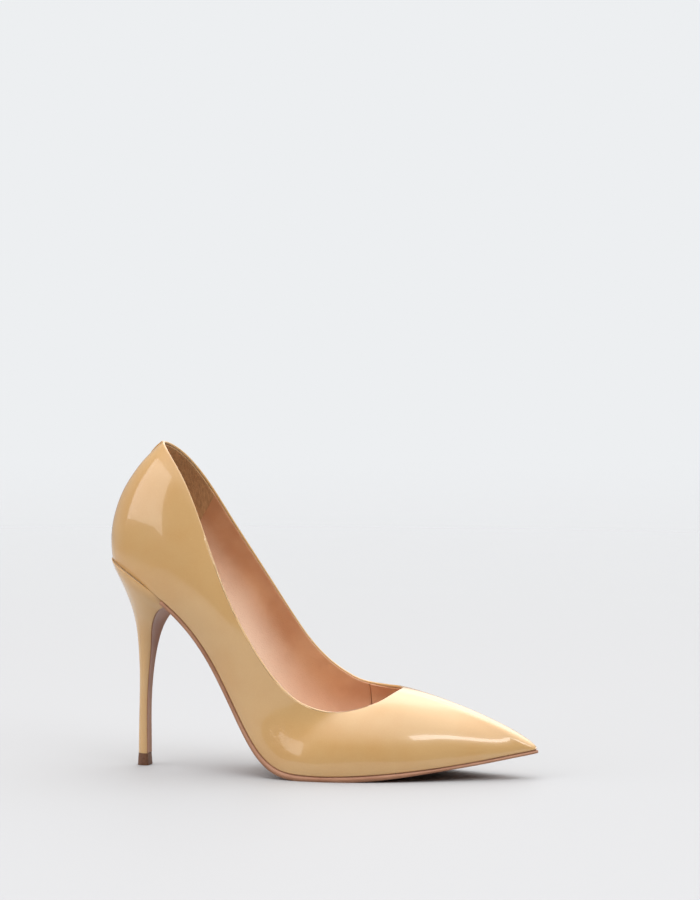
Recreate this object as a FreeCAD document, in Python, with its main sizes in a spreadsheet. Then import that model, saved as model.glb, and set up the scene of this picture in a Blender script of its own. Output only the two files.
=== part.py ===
import FreeCAD, Part
import math
import os
import Sketcher

# A right-foot stiletto pump, in millimetres.
#
# Frame: +X runs from the heel to the toe, +Y to the medial side, +Z up.  The origin is the
# centre of the top lift's ground face, on the floor.
#
# The shoe is drawn the way a last is.  The feather line is the edge where the upper turns
# under: it has a side view (FEATHER_PROFILE) and a plan (STATIONS).  From each station a wall
# curve rises to the topline.  Every layer of the upper is a sheet at its own depth behind that
# wall, and every bottom piece is a band at its own height over the feather line, cut to its plan
# outline.  The base-size drawing is graded to the driving dimensions, so that a change of size
# moves everything that fits together.

V = FreeCAD.Vector
doc = FreeCAD.newDocument("HighHeelPump")

# ---------------------------------------------------------------- driving dimensions
DIMENSIONS = [
    ("shoe_length", 216.0, "feather line, back of the seat to the toe tip, along X"),
    ("heel_height", 104.0, "feather line at the back of the seat, above the floor"),
    ("ball_width", 73.0, "feather outline across the ball"),
    ("back_height", 58.0, "topline above the feather line at the back"),
    ("seat_overhang", 15.5, "back of the seat behind the centre of the top lift"),
    ("upper_thick", 1.0, "patent upper"),
    ("stay_thick", 0.4, "backing between upper and lining"),
    ("stiffener_thick", 1.2, "counter and toe puff where full"),
    ("tape_thick", 0.25, "topline tape"),
    ("tape_width", 4.0, "topline tape"),
    ("lining_thick", 0.7, "leather and suede linings"),
    ("tab_thick", 0.8, "back tab over the seam"),
    ("tab_length", 13.5, "back tab along the topline"),
    ("tab_drop", 11.0, "back tab below the topline"),
    ("lining_drop", 0.8, "lining edge below the upper's rim"),
    ("bond_gap", 0.05, "cement between layers"),
    ("seam_gap", 0.3, "clearance at butted seams"),
    ("margin_width", 12.0, "lasting margin turned under"),
    ("outsole_fore", 3.0, "outsole under the ball and toe"),
    ("outsole_waist", 2.0, "outsole in the waist"),
    ("tread_flat", 0.3, "depth of the flat ground into the outsole's tread"),
    ("outsole_reveal", 0.4, "outsole edge proud of the feather line"),
    ("shank_board_thick", 1.4, "reinforcing board between the margins"),
    ("insole_thick", 1.8, "insole board"),
    ("foam_thick", 1.5, "foam under the sock"),
    ("sock_thick", 0.9, "sock lining"),
    ("board_gap", 0.5, "insole edge clear of the lining"),
    ("shank_width", 11.0, "steel shank"),
    ("shank_gauge", 0.9, "steel shank strip"),
    ("rivet_radius", 1.8, "shank rivets"),
    ("lift_height", 6.0, "top lift"),
    ("lift_length", 6.4, "top lift's ground face, back to breast"),
    ("lift_radius", 4.1, "top lift's round back, at the ground"),
    ("lift_taper", 4.0, "degrees that the top lift narrows upwards"),
    ("cover_thick", 0.6, "patent cover on the heel"),
    ("tube_radius", 1.3, "steel tube in the heel stem"),
    ("tube_bore", 0.85, "radius of the tube's bore"),
    ("tube_length", 56.0, "steel tube above the top lift"),
    ("pin_radius", 0.85, "top lift's steel pin"),
    ("pin_length", 14.0, "pin above the top lift"),
    ("screw_radius", 1.6, "heel screw's shank"),
    ("screw_length", 13.0, "heel screw below the seat"),
    ("nail_radius", 0.8, "heel nails"),
    ("nail_length", 8.5, "heel nails below the seat"),
]

sheet = doc.addObject("Spreadsheet::Sheet", "Sheet")
for row, (alias, value, note) in enumerate(DIMENSIONS, start=1):
    sheet.set(f"A{row}", alias)
    sheet.set(f"B{row}", str(value))
    sheet.set(f"C{row}", note)
    sheet.setAlias(f"B{row}", alias)
doc.recompute()


def size(alias):
    """Value of one cell of the sheet."""
    return float(sheet.get(alias))


UPPER, STAY, STIFF = size("upper_thick"), size("stay_thick"), size("stiffener_thick")
TAPE, LINING, BOND = size("tape_thick"), size("lining_thick"), size("bond_gap")
SEAM, MARGIN = size("seam_gap"), size("margin_width")

# ---------------------------------------------------------------- grading from the base size
BASE = {"shoe_length": 216.0, "heel_height": 104.0, "ball_width": 73.0, "back_height": 58.0}
BASE_OVERHANG = 15.5
BASE_TREAD = 2.7
grade_long, grade_heel, grade_wide, grade_tall = (size(name) / BASE[name] for name in BASE)
x_back = -size("seat_overhang")
x_tip = x_back + size("shoe_length")
x_breast = x_back + (18.0 + BASE_OVERHANG) * grade_long


def along(x_base):
    """X of a base-size position."""
    return x_back + (x_base + BASE_OVERHANG) * grade_long


def interpolated(points, parameters):
    """Cubic spline through points at given parameters."""
    curve = Part.BSplineCurve()
    curve.interpolate(Points=points, Parameters=parameters)
    return curve


# Feather line in side view at the base size: seat, waist, tread, toe spring.
FEATHER_PROFILE = [
    (-15.5, 104.0), (0.0, 96.3), (14.0, 86.9), (28.0, 74.6), (42.0, 56.4), (56.0, 32.2),
    (68.0, 14.4), (80.0, 5.3), (93.0, 2.9), (107.0, 2.7), (124.0, 3.6), (146.0, 5.9),
    (170.0, 9.4), (200.5, 15.2),
]
rise_of_tread = size("outsole_fore") - size("tread_flat")
rise_of_heel = (size("heel_height") - rise_of_tread) / (BASE["heel_height"] - BASE_TREAD)
profile_points = []
for x_base, z_base in FEATHER_PROFILE:
    rise = (z_base - BASE_TREAD) * (rise_of_heel if x_base < 93.0 else 1.0)
    profile_points.append(V(along(x_base), 0, rise_of_tread + rise))
profile = interpolated(profile_points, [p.x for p in profile_points])


def feather_slope(x):
    inside = min(max(x, profile_points[0].x), profile_points[-1].x)
    tangent = profile.tangent(inside)[0]
    return tangent.z / tangent.x


def feather_z(x):
    """Height of the feather line at x, carried on straight past both ends."""
    inside = min(max(x, profile_points[0].x), profile_points[-1].x)
    return profile.value(inside).z + (x - inside) * feather_slope(inside)


def bottom_up(x):
    """Direction square to the feather line in side view."""
    return V(-feather_slope(x), 0, 1).normalize()


# ---------------------------------------------------------------- the wall of the upper
# Half of the ring per side, back to toe: feather (x, y), topline (x, y, z), all at the base size.
LATERAL = [
    ((-15.5, 0.0), (11.0, 0.0, 162.0)), ((-13.5, -7.7), (13.8, -6.6, 159.6)),
    ((-7.7, -14.5), (19.0, -11.4, 154.0)), ((2.0, -19.9), (27.0, -16.0, 143.0)),
    ((14.0, -22.4), (38.0, -21.3, 120.6)), ((28.0, -22.2), (50.5, -26.6, 92.2)),
    ((42.0, -22.3), (63.0, -30.0, 69.5)), ((56.0, -25.3), (77.0, -31.8, 50.2)),
    ((68.0, -30.3), (89.5, -31.8, 39.0)), ((80.0, -34.6), (98.0, -30.9, 35.3)),
    ((93.0, -37.2), (104.5, -29.4, 33.8)), ((107.0, -37.2), (110.5, -27.4, 33.7)),
    ((124.0, -33.8), (116.5, -24.6, 34.5)), ((146.0, -25.6), (122.0, -21.3, 36.2)),
    ((168.0, -14.2), (126.6, -17.2, 38.0)), ((184.0, -5.2), (129.6, -12.6, 39.9)),
    ((194.0, 0.0), (131.4, -7.9, 41.3)), ((199.0, 2.4), (132.3, -3.2, 42.1)),
    ((200.5, 5.2), (132.6, 1.3, 42.5)),
]
MEDIAL = [
    ((-15.5, 0.0), (11.0, 0.0, 162.0)), ((-13.5, 7.7), (13.6, 6.8, 159.9)),
    ((-7.7, 14.5), (18.8, 12.2, 154.6)), ((2.0, 19.9), (27.0, 17.2, 143.4)),
    ((14.0, 22.4), (38.8, 22.0, 123.5)), ((28.0, 21.7), (52.5, 26.0, 101.0)),
    ((42.0, 20.4), (66.0, 28.6, 79.5)), ((56.0, 21.4), (80.0, 30.2, 60.0)),
    ((68.0, 25.2), (91.0, 29.8, 50.4)), ((80.0, 29.8), (98.5, 28.6, 46.2)),
    ((93.0, 33.8), (104.5, 26.8, 43.9)), ((107.0, 35.6), (110.3, 24.8, 42.9)),
    ((124.0, 34.4), (116.0, 22.6, 42.4)), ((146.0, 28.2), (121.4, 19.8, 42.2)),
    ((168.0, 20.0), (125.8, 16.4, 42.3)), ((184.0, 14.0), (128.9, 12.8, 42.5)),
    ((194.2, 10.4), (131.0, 9.0, 42.6)), ((199.1, 8.2), (132.3, 5.3, 42.6)),
    ((200.5, 5.2), (132.6, 1.3, 42.5)),
]
HALF = len(LATERAL) - 1
RING = 2 * HALF
# Shape of the wall curve by station from the back: at the foot, how far it flares out, how much of
# the lean and of the rise it takes; at the topline, how far it swells out, its lean and its fall.
WALL_KEYS = {
    0: (4.0, 0.00, 0.31, 12.7, 0.33, 0.28),
    2: (4.0, 0.15, 0.32, 9.0, 0.33, 0.29),
    4: (3.5, 0.30, 0.33, 4.0, 0.33, 0.33),
    6: (2.5, 0.30, 0.33, 1.5, 0.33, 0.33),
    8: (2.2, 0.15, 0.35, 1.5, 0.33, 0.30),
    10: (2.0, 0.00, 0.40, 1.0, 0.30, 0.25),
    12: (2.0, 0.00, 0.45, 1.5, 0.33, 0.12),
    14: (1.8, 0.02, 0.38, 1.8, 0.42, 0.08),
    16: (1.2, 0.00, 0.24, 0.6, 0.41, 0.15),
    18: (1.0, 0.00, 0.18, 0.0, 0.40, 0.20),
}


def wall_key(station):
    """The six wall values at a station, by straight lines between the keys."""
    below = max(k for k in WALL_KEYS if k <= station)
    above = min(k for k in WALL_KEYS if k >= station)
    part = (station - below) / (above - below) if above > below else 0.0
    return [a + (b - a) * part for a, b in zip(WALL_KEYS[below], WALL_KEYS[above])]


def graded_station(pair, station):
    """Feather and topline points of one station, at the size of the sheet."""
    (fx, fy), (tx, ty, tz) = pair
    base_z = dict(FEATHER_PROFILE).get(fx, base_profile.value(fx).z)
    feather = V(along(fx), fy * grade_wide, feather_z(along(fx)))
    back_share = max(0.0, 1.0 - station / 8.0)
    taller = 1.0 + (grade_tall - 1.0) * back_share
    top = V(feather.x + (tx - fx) * grade_long, ty * grade_wide, feather.z + (tz - base_z) * taller)
    return feather, top


base_profile = interpolated([V(x, 0, z) for x, z in FEATHER_PROFILE], [x for x, z in FEATHER_PROFILE])
ring_pairs = LATERAL + MEDIAL[-2:0:-1]
ring_stations = [min(k, RING - k) for k in range(RING)]
ring_points = [graded_station(pair, k) for pair, k in zip(ring_pairs, ring_stations)]
ring_points.append(ring_points[0])
ring_at = [0.0]
for (feather_a, top_a), (feather_b, top_b) in zip(ring_points, ring_points[1:]):
    ring_at.append(ring_at[-1] + (feather_a.distanceToPoint(feather_b) + top_a.distanceToPoint(top_b)) / 2)
ring_length = ring_at[-1]
keys = [wall_key(k) for k in ring_stations]


def ring_rail(points):
    """Spline round the whole ring, with an overlap that makes it run on smoothly at the back."""
    overlap = 4
    turned = points[-overlap:] + points + points[:overlap + 1]
    places = [at - ring_length for at in ring_at[-1 - overlap:-1]] + ring_at[:-1]
    places += [at + ring_length for at in ring_at[:overlap + 1]]
    return interpolated(turned, places)


feather_rail = ring_rail([feather for feather, top in ring_points[:-1]])
top_rail = ring_rail([top for feather, top in ring_points[:-1]])
foot_rail = ring_rail([V(*key[:3]) for key in keys])
head_rail = ring_rail([V(*key[3:]) for key in keys])


def at_station(k):
    """Place along the ring of a station number; a negative one counts back on the medial side."""
    turn, k = divmod(k, RING)
    low = min(int(k), RING - 1)
    return turn * ring_length + ring_at[low] + (k - low) * (ring_at[low + 1] - ring_at[low])


def feather_point(s):
    point = feather_rail.value(s % ring_length)
    return V(point.x, point.y, feather_z(point.x))


def plan_out(s):
    """Outward direction of the feather outline, in plan."""
    tangent = feather_rail.tangent(s % ring_length)[0]
    return V(tangent.y, -tangent.x, 0).normalize()


def wall_controls(s):
    """The four Bezier points of the wall curve at s."""
    place = s % ring_length
    foot, top, out = feather_point(s), top_rail.value(place), plan_out(s)
    flare, lean, rise = foot_rail.value(place)
    swell, head_lean, fall = head_rail.value(place)
    level, height = V(top.x - foot.x, top.y - foot.y, 0), top.z - foot.z
    low = foot + out * flare + level * lean + V(0, 0, height * rise)
    high = top + out * swell - level * head_lean - V(0, 0, height * fall)
    return foot, low, high, top


def wall_point(s, v):
    a, b, c, d = wall_controls(s)
    w = 1.0 - v
    return a * (w * w * w) + b * (3 * w * w * v) + c * (3 * w * v * v) + d * (v * v * v)


def wall_normal(s, v, step=0.01):
    """Outward direction of the wall."""
    across = wall_point(s + 0.2, v) - wall_point(s - 0.2, v)
    upward = wall_point(s, v + step) - wall_point(s, v - step)
    return across.cross(upward).normalize()


def drop_from_top(s, distance):
    """Height parameter of a point that lies a distance down the wall from the topline."""
    v = 1.0
    gone = 0.0
    last = wall_point(s, v)
    while gone < distance and v > 0.05:
        v -= 0.01
        point = wall_point(s, v)
        gone += point.distanceToPoint(last)
        last = point
    return v


def smooth(x):
    """0 to 1 without corners."""
    x = min(max(x, 0.0), 1.0)
    return x * x * (3 - 2 * x)


COUNTER_END, PUFF_START = 5.6, 12.6


def filling(s, v):
    """Room between upper and lining: counter or puff, backing, and the tape at the top."""
    place = s % ring_length
    station = min(place, ring_length - place)
    full_back = 1.0 - smooth((station - at_station(3.6)) / (at_station(COUNTER_END) - at_station(3.6)))
    full_toe = smooth((station - at_station(PUFF_START)) / (at_station(14.5) - at_station(PUFF_START)))
    full = STAY + (STIFF - STAY) * max(full_back, full_toe)
    return TAPE + BOND + (full - TAPE) * smooth((1.0 - v) / 0.25)


# ---------------------------------------------------------------- sheets of the upper
LEVELS = [0.0, 0.2, 0.35, 0.5, 0.65, 0.8, 0.9, 1.0]


def surface_from_rows(rows, us, vs):
    """Spline surface through rows of points, cubic both ways."""
    row_curves = [interpolated(row, us) for row in rows]
    pole_rows = [curve.getPoles() for curve in row_curves]
    columns = [interpolated(list(column), vs) for column in zip(*pole_rows)]
    surface = Part.BSplineSurface()
    surface.buildFromPolesMultsKnots(
        [column.getPoles() for column in columns], row_curves[0].getMultiplicities(),
        columns[0].getMultiplicities(), row_curves[0].getKnots(), columns[0].getKnots(),
        False, False, row_curves[0].Degree, columns[0].Degree)
    return surface


def strip_between(curve_a, curve_b):
    """Ruled surface between two spline curves on the same knots."""
    surface = Part.BSplineSurface()
    surface.buildFromPolesMultsKnots(
        [list(pair) for pair in zip(curve_a.getPoles(), curve_b.getPoles())],
        curve_a.getMultiplicities(), [2, 2], curve_a.getKnots(), [0.0, 1.0],
        False, False, curve_a.Degree, 1)
    return surface


def closed_solid(surfaces):
    """Solid bounded by surfaces that share their edges."""
    shell = Part.makeShell([s if isinstance(s, Part.Face) else s.toShape() for s in surfaces])
    shell.sewShape()
    solid = Part.makeSolid(shell.Shells[0])
    if solid.Volume < 0:
        solid.reverse()
    return solid


def foot_corner(s, depth, height):
    """Where a face at this depth behind the wall meets a height over the feather line."""
    foot = feather_point(s)
    up, normal = bottom_up(foot.x), wall_normal(s, 0.0)
    out = plan_out(s)
    out = (out - up * out.dot(up)).normalize()
    return foot + up * height - out * ((depth + height * up.dot(normal)) / out.dot(normal))


def margin_point(s, foot, inward, height):
    """Point of a turned-in margin, a way in from the feather line and at a height over it."""
    edge = feather_point(s) - plan_out(s) * inward
    flat = V(edge.x, edge.y, feather_z(edge.x))
    return flat + bottom_up(edge.x) * height


def columns_between(start, end):
    """Ring places of the columns of a sheet, closest together round the toe."""
    count = max(4, int(math.ceil((end - start) * 2)))
    return [at_station(start + (end - start) * i / count) for i in range(count + 1)]


def toe_trimmed(s, width):
    """A width measured inward from the feather line, less where the toe is narrow."""
    toe_room = 2.2 + 0.28 * (x_tip - feather_point(s).x)
    return min(width, toe_room)


def layer_sheet(start, end, outer, inner, foot_low, foot_high, top_drop=0.0, low_drop=None, margin=0.0):
    """A layer of the upper between two depths, from station start to station end.

    outer and inner give the depth of its faces at (s, v).  Its foot stands between the heights
    foot_low and foot_high over the feather line, and its margin, if any, turns in there.
    low_drop gives, by place, how far down from the topline it reaches when it has no foot.
    """
    us = columns_between(start, end)
    tops = [drop_from_top(s, top_drop) if top_drop else 1.0 for s in us]
    lows = [drop_from_top(s, low_drop(s)) for s in us] if low_drop else [0.0] * len(us)

    def rows_at(depth, foot_height):
        rows = []
        for level in LEVELS:
            row = []
            for s, low, high in zip(us, lows, tops):
                v = low + (high - low) * level
                if level == 0.0 and not low_drop:
                    row.append(foot_corner(s, depth(s, v), foot_height))
                else:
                    row.append(wall_point(s, v) - wall_normal(s, v) * depth(s, v))
            rows.append(row)
        return rows

    outer_rows, inner_rows = rows_at(outer, foot_low), rows_at(inner, foot_high)
    outer_wall = surface_from_rows(outer_rows, us, LEVELS)
    inner_wall = surface_from_rows(inner_rows, us, LEVELS)
    faces = [outer_wall, inner_wall]
    faces.append(strip_between(interpolated(outer_rows[-1], us), interpolated(inner_rows[-1], us)))
    for side in (0, -1):
        outer_end = interpolated([row[side] for row in outer_rows], LEVELS)
        inner_end = interpolated([row[side] for row in inner_rows], LEVELS)
        faces.append(strip_between(outer_end, inner_end))
    outer_foot, inner_foot = outer_rows[0], inner_rows[0]
    if not margin:
        faces.append(strip_between(interpolated(outer_foot, us), interpolated(inner_foot, us)))
        return closed_solid(faces)
    under, over = [outer_foot], [inner_foot]
    for share in (0.5, 1.0):
        under.append([margin_point(s, foot, share * toe_trimmed(s, margin), foot_low)
                      for s, foot in zip(us, outer_foot)])
        over.append([margin_point(s, foot, share * toe_trimmed(s, margin), foot_high)
                     for s, foot in zip(us, inner_foot)])
    shares = [0.0, 0.5, 1.0]
    faces += [surface_from_rows(under, us, shares), surface_from_rows(over, us, shares)]
    faces.append(strip_between(interpolated(under[-1], us), interpolated(over[-1], us)))
    for side in (0, -1):
        faces.append(strip_between(interpolated([row[side] for row in under], shares),
                                   interpolated([row[side] for row in over], shares)))
    return closed_solid(faces)


def add_shape(label, shape):
    """A document object of its own for a shape that no feature fits."""
    feature = doc.addObject("Part::Feature", label)
    feature.Label = label
    feature.Shape = shape
    feature.Placement = FreeCAD.Placement()
    return feature


lining_low = UPPER + BOND
insole_low = lining_low + LINING + BOND
half_seam = SEAM / 2 / ring_at[1]
pieces = []


def flat_depth(depth):
    return lambda s, v: depth


def lining_face(extra):
    """Depth of the lining's outer face, plus extra."""
    return lambda s, v: UPPER + BOND + filling(s, v) + BOND + extra


def add_upper():
    pieces.append(add_shape("upper_blank", layer_sheet(
        half_seam, RING - half_seam, flat_depth(0.0), flat_depth(UPPER), 0.0, UPPER, margin=MARGIN)))


def add_linings():
    grip_edge, vamp_seam = 3.3, 11.1
    spans = {
        "heel_grip_blank": (-grip_edge, grip_edge),
        "quarter_lining_lateral_blank": (grip_edge, vamp_seam),
        "vamp_lining": (vamp_seam, RING - vamp_seam),
        "quarter_lining_medial_blank": (RING - vamp_seam, RING - grip_edge),
    }
    seam_share = 0.02
    for label, (start, end) in spans.items():
        pieces.append(add_shape(label, layer_sheet(
            start + seam_share, end - seam_share, lining_face(0.0), lining_face(LINING),
            lining_low, lining_low + LINING, top_drop=size("lining_drop"), margin=MARGIN)))


def add_fillings():
    spans = {
        "counter_stiffener": (-COUNTER_END, COUNTER_END),
        "side_stay_lateral": (COUNTER_END, PUFF_START),
        "toe_puff": (PUFF_START, RING - PUFF_START),
        "side_stay_medial": (RING - PUFF_START, RING - COUNTER_END),
    }
    seam_share = 0.02
    for label, (start, end) in spans.items():
        pieces.append(add_shape(label, layer_sheet(
            start + seam_share, end - seam_share, flat_depth(UPPER + BOND),
            lambda s, v: UPPER + BOND + filling(s, v), lining_low, lining_low,
            top_drop=size("tape_width") + 1.5)))


def add_tape():
    pieces.append(add_shape("topline_tape", layer_sheet(
        half_seam, RING - half_seam, flat_depth(UPPER + BOND), flat_depth(UPPER + BOND + TAPE), 0.0, 0.0,
        top_drop=0.6, low_drop=lambda s: 0.6 + size("tape_width"))))


def add_back_tab():
    """Dog-tail tab: one end at the back seam, round below, on the medial side."""
    tab_stations = size("tab_length") / (ring_length - at_station(RING - 1.0))
    reach = at_station(0.0) - at_station(-tab_stations)

    def drop(s):
        place = (s % ring_length - ring_length) / reach if s % ring_length > reach else 0.0
        across = min(1.0, abs(2 * place + 1))
        return 0.35 + size("tab_drop") * max(0.12, (1 - across ** 2.6)) ** 0.5

    pieces.append(add_shape("back_tab", layer_sheet(
        -tab_stations, -half_seam, flat_depth(-BOND - size("tab_thick")), flat_depth(-BOND), 0.0, 0.0,
        top_drop=0.3, low_drop=drop)))


# ---------------------------------------------------------------- bottom pieces
def role_plane(body, role):
    return next(f for f in body.Origin.OriginFeatures if f.Role == role)


def add_sketch(body, name, role, geometry):
    sketch = body.newObject("Sketcher::SketchObject", name)
    sketch.AttachmentSupport = [(role_plane(body, role), "")]
    sketch.MapMode = "FlatFace"
    sketch.addGeometry(geometry, False)
    count = len(geometry)
    for index in range(count):
        if geometry[index].TypeId != "Part::GeomCircle" and hasattr(geometry[index], "StartPoint"):
            following = index + 1 if index + 1 < count else 0
            end, start = geometry[index].EndPoint, geometry[following].StartPoint
            if end.distanceToPoint(start) < 1e-6:
                sketch.addConstraint(Sketcher.Constraint("Coincident", index, 2, following, 1))
    return sketch


def new_body(label):
    body = doc.addObject("PartDesign::Body", label)
    body.Label = label
    return body


def profile_offset(x, height):
    """Point of the side view at a height square to the feather line, in a sketch's x and y."""
    up = bottom_up(x)
    return V(x + up.x * height, feather_z(x) + up.z * height, 0)


def band_geometry(start, end, low, high):
    """Closed side view of a band between two heights over the feather line."""
    count = 24
    xs = [start + (end - start) * i / count for i in range(count + 1)]
    under = [profile_offset(x, low(x)) for x in xs]
    over = [profile_offset(x, high(x)) for x in reversed(xs)]
    return [
        interpolated(under, [float(i) for i in range(count + 1)]),
        Part.LineSegment(under[-1], over[0]),
        interpolated(over, [float(i) for i in range(count + 1)]),
        Part.LineSegment(over[-1], under[0]),
    ]


def outline_points(inset, toe_short=0.0, clearance=0.0):
    """Feather outline in plan, moved inward, with its toe drawn back."""
    points = []
    for k in range(2 * RING):
        s = at_station(k / 2)
        point = feather_point(s) - plan_out(s) * (toe_trimmed(s, inset) + clearance)
        toe_share = max(0.0, (point.x - (x_tip - 30.0)) / 30.0)
        points.append(V(point.x - toe_short * toe_share ** 2, point.y, 0))
    return points


def closed_outline(points):
    """Two splines, the lateral one from back to toe and the medial one from toe to back."""
    curves = []
    for half in (points[:RING + 1], points[RING:] + points[:1]):
        lengths = [0.0]
        for a, b in zip(half, half[1:]):
            lengths.append(lengths[-1] + a.distanceToPoint(b))
        curves.append(interpolated(half, lengths))
    return curves


def pocket_outside(body, outline):
    """Cuts away everything outside a closed plan outline."""
    reach = 2 * size("shoe_length")
    corners = [V(-reach, -reach, 0), V(reach, -reach, 0), V(reach, reach, 0), V(-reach, reach, 0)]
    frame = [Part.LineSegment(corners[i], corners[(i + 1) % 4]) for i in range(4)]
    sketch = add_sketch(body, body.Label + "_outline", "XY_Plane", frame + outline)
    pocket = body.newObject("PartDesign::Pocket", body.Label + "_trim")
    pocket.Profile = sketch
    pocket.Type = "ThroughAll"
    pocket.SideType = "Symmetric"
    return pocket


def add_band(label, start, end, low, high, outline):
    """A bottom piece: its side view padded across the shoe, then cut to its outline."""
    body = new_body(label)
    sketch = add_sketch(body, label + "_side", "XZ_Plane", band_geometry(start, end, low, high))
    pad = body.newObject("PartDesign::Pad", label + "_pad")
    pad.Profile = sketch
    pad.SideType = "Symmetric"
    pad.setExpression("Length", "Sheet.ball_width * 1.5")
    pocket_outside(body, outline)
    return body


def constant(value):
    return lambda x: value


def outsole_low(x):
    """Underside of the outsole: thin in the waist, full from the tread forward."""
    fore = smooth((x - along(58.0)) / (along(78.0) - along(58.0)))
    waist, full = size("outsole_waist"), size("outsole_fore")
    return -(waist + (full - waist) * fore)


def add_outsole():
    body = add_band("outsole", x_breast + 0.5, x_tip + 4.0, outsole_low, constant(-BOND),
                    closed_outline(outline_points(-size("outsole_reveal"))))
    ground = [V(0, 0, 0), V(x_tip, 0, 0), V(x_tip, -20, 0), V(0, -20, 0)]
    sketch = add_sketch(body, "tread", "XZ_Plane",
                        [Part.LineSegment(ground[i], ground[(i + 1) % 4]) for i in range(4)])
    pocket = body.newObject("PartDesign::Pocket", "tread_cut")
    pocket.Profile = sketch
    pocket.Type = "ThroughAll"
    pocket.SideType = "Symmetric"
    return body


inner_wall = UPPER + STIFF + LINING + 3 * BOND + size("board_gap")
foam_low = insole_low + size("insole_thick") + BOND
sock_low = foam_low + size("foam_thick") + BOND
MARGIN_CLEARANCE = 0.6
X_BOARD_START, X_BOARD_END = along(0.0), along(84.0)
X_FILLER_END = x_tip - 14.0


def add_boards():
    insole = add_band("insole_board", x_back - 5, x_tip + 5, constant(insole_low),
                      constant(insole_low + size("insole_thick")),
                      closed_outline(outline_points(inner_wall, toe_short=5.0)))
    foam = add_band("sock_foam", x_back - 5, x_tip + 5, constant(foam_low),
                    constant(foam_low + size("foam_thick")),
                    closed_outline(outline_points(inner_wall + 0.3, toe_short=7.4)))
    sock = add_band("sock_lining", x_back - 5, x_tip + 5, constant(sock_low),
                    constant(sock_low + size("sock_thick")),
                    closed_outline(outline_points(inner_wall + 0.3, toe_short=9.0)))
    return insole, foam, sock


shank_low = insole_low - BOND - size("shank_gauge")


def add_centre_fillings():
    board = add_band("shank_board", X_BOARD_START, X_BOARD_END, constant(BOND),
                     constant(BOND + size("shank_board_thick")),
                     closed_outline(outline_points(MARGIN, clearance=MARGIN_CLEARANCE)))
    filler = add_band("bottom_filler", X_BOARD_END + SEAM, X_FILLER_END, constant(BOND),
                      constant(insole_low - BOND),
                      closed_outline(outline_points(MARGIN, clearance=MARGIN_CLEARANCE)))
    return board, filler


# ---------------------------------------------------------------- heel block and its cover
# Levels from the top lift to just over the seat: back (x, z), breast (x, z), half width, hollow.
HEEL_LEVELS = [
    (-2.75, 4.0, 2.60, 4.0, 3.75, 0.25), (-2.75, 6.0, 2.60, 6.0, 3.75, 0.25),
    (-2.35, 28.0, 2.55, 28.0, 3.60, 0.25), (-2.10, 46.0, 3.50, 45.0, 4.00, 0.35),
    (-2.80, 62.0, 5.40, 60.0, 6.00, 0.80), (-4.40, 74.5, 7.30, 69.5, 10.20, 1.40),
    (-8.00, 86.5, 10.20, 75.6, 15.40, 1.60), (-12.0, 96.2, 13.80, 79.6, 19.80, 1.00),
    (-15.5, 104.0, 18.00, 83.3, 22.60, 0.0), (-16.2, 108.5, 18.60, 88.0, 22.60, 0.0),
]
HEEL_AXIS = 0.15
LIFT_TOP_BASE, SEAT_BACK_BASE, SEAT_FRONT_BASE = 6.0, 104.0, 83.3
lift_top = size("lift_height")


def heel_level(level):
    """One level of the heel at the size of the sheet; its share of the seat grows upwards."""
    back_x, back_z, front_x, front_z, half_width, hollow = level
    share = min(1.0, max(0.0, (back_z - LIFT_TOP_BASE) / (SEAT_BACK_BASE - LIFT_TOP_BASE)))
    wider = 1.0 + (grade_wide - 1.0) * share

    def graded(x, z, top_base, seat_x):
        rise = (z - LIFT_TOP_BASE) / (top_base - LIFT_TOP_BASE)
        return V(x + (along(x) - x) * share, 0, lift_top + rise * (feather_z(seat_x) - lift_top))

    back = graded(back_x, back_z, SEAT_BACK_BASE, x_back)
    front = graded(front_x, front_z, SEAT_FRONT_BASE, x_breast)
    return back, front, half_width * wider, hollow


def heel_form(inset):
    """Solid heel, from below the top lift's joint to over the seat, moved inward by inset."""
    side_rows, breast_rows = [], []
    count, breast_count = 24, 6
    for level in HEEL_LEVELS:
        back, front, half_width, hollow = heel_level(level)
        ahead = (front - back).normalize()
        back, length = back + ahead * inset, front.distanceToPoint(back) - 2 * inset
        half_width -= inset
        turn = math.acos(max(-0.5, min(0.0, 1.0 - length / half_width)))
        side, breast = [], []
        for i in range(count + 1):
            angle = turn * (2 * i / count - 1)
            reach = length * (1 - math.cos(angle)) / (1 - math.cos(turn))
            side.append(back + ahead * reach + V(0, half_width * math.sin(angle), 0))
        for i in range(breast_count + 1):
            across = 2 * i / breast_count - 1
            inward = length - hollow * (1 - across ** 2)
            breast.append(back + ahead * inward + V(0, half_width * math.sin(turn) * across, 0))
        side_rows.append(side)
        breast_rows.append(breast)
    side_us = [float(i) for i in range(count + 1)]
    breast_us = [float(i) for i in range(breast_count + 1)]
    rises = [0.0]
    for level_a, level_b in zip(HEEL_LEVELS, HEEL_LEVELS[1:]):
        rises.append(rises[-1] + level_b[1] - level_a[1])
    faces = [surface_from_rows(side_rows, side_us, rises), surface_from_rows(breast_rows, breast_us, rises)]
    for end in (0, -1):
        edges = [interpolated(side_rows[end], side_us).toShape(),
                 interpolated(breast_rows[end], breast_us).toShape()]
        faces.append(Part.Face(Part.Wire(edges)))
    return closed_solid(faces)


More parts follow.
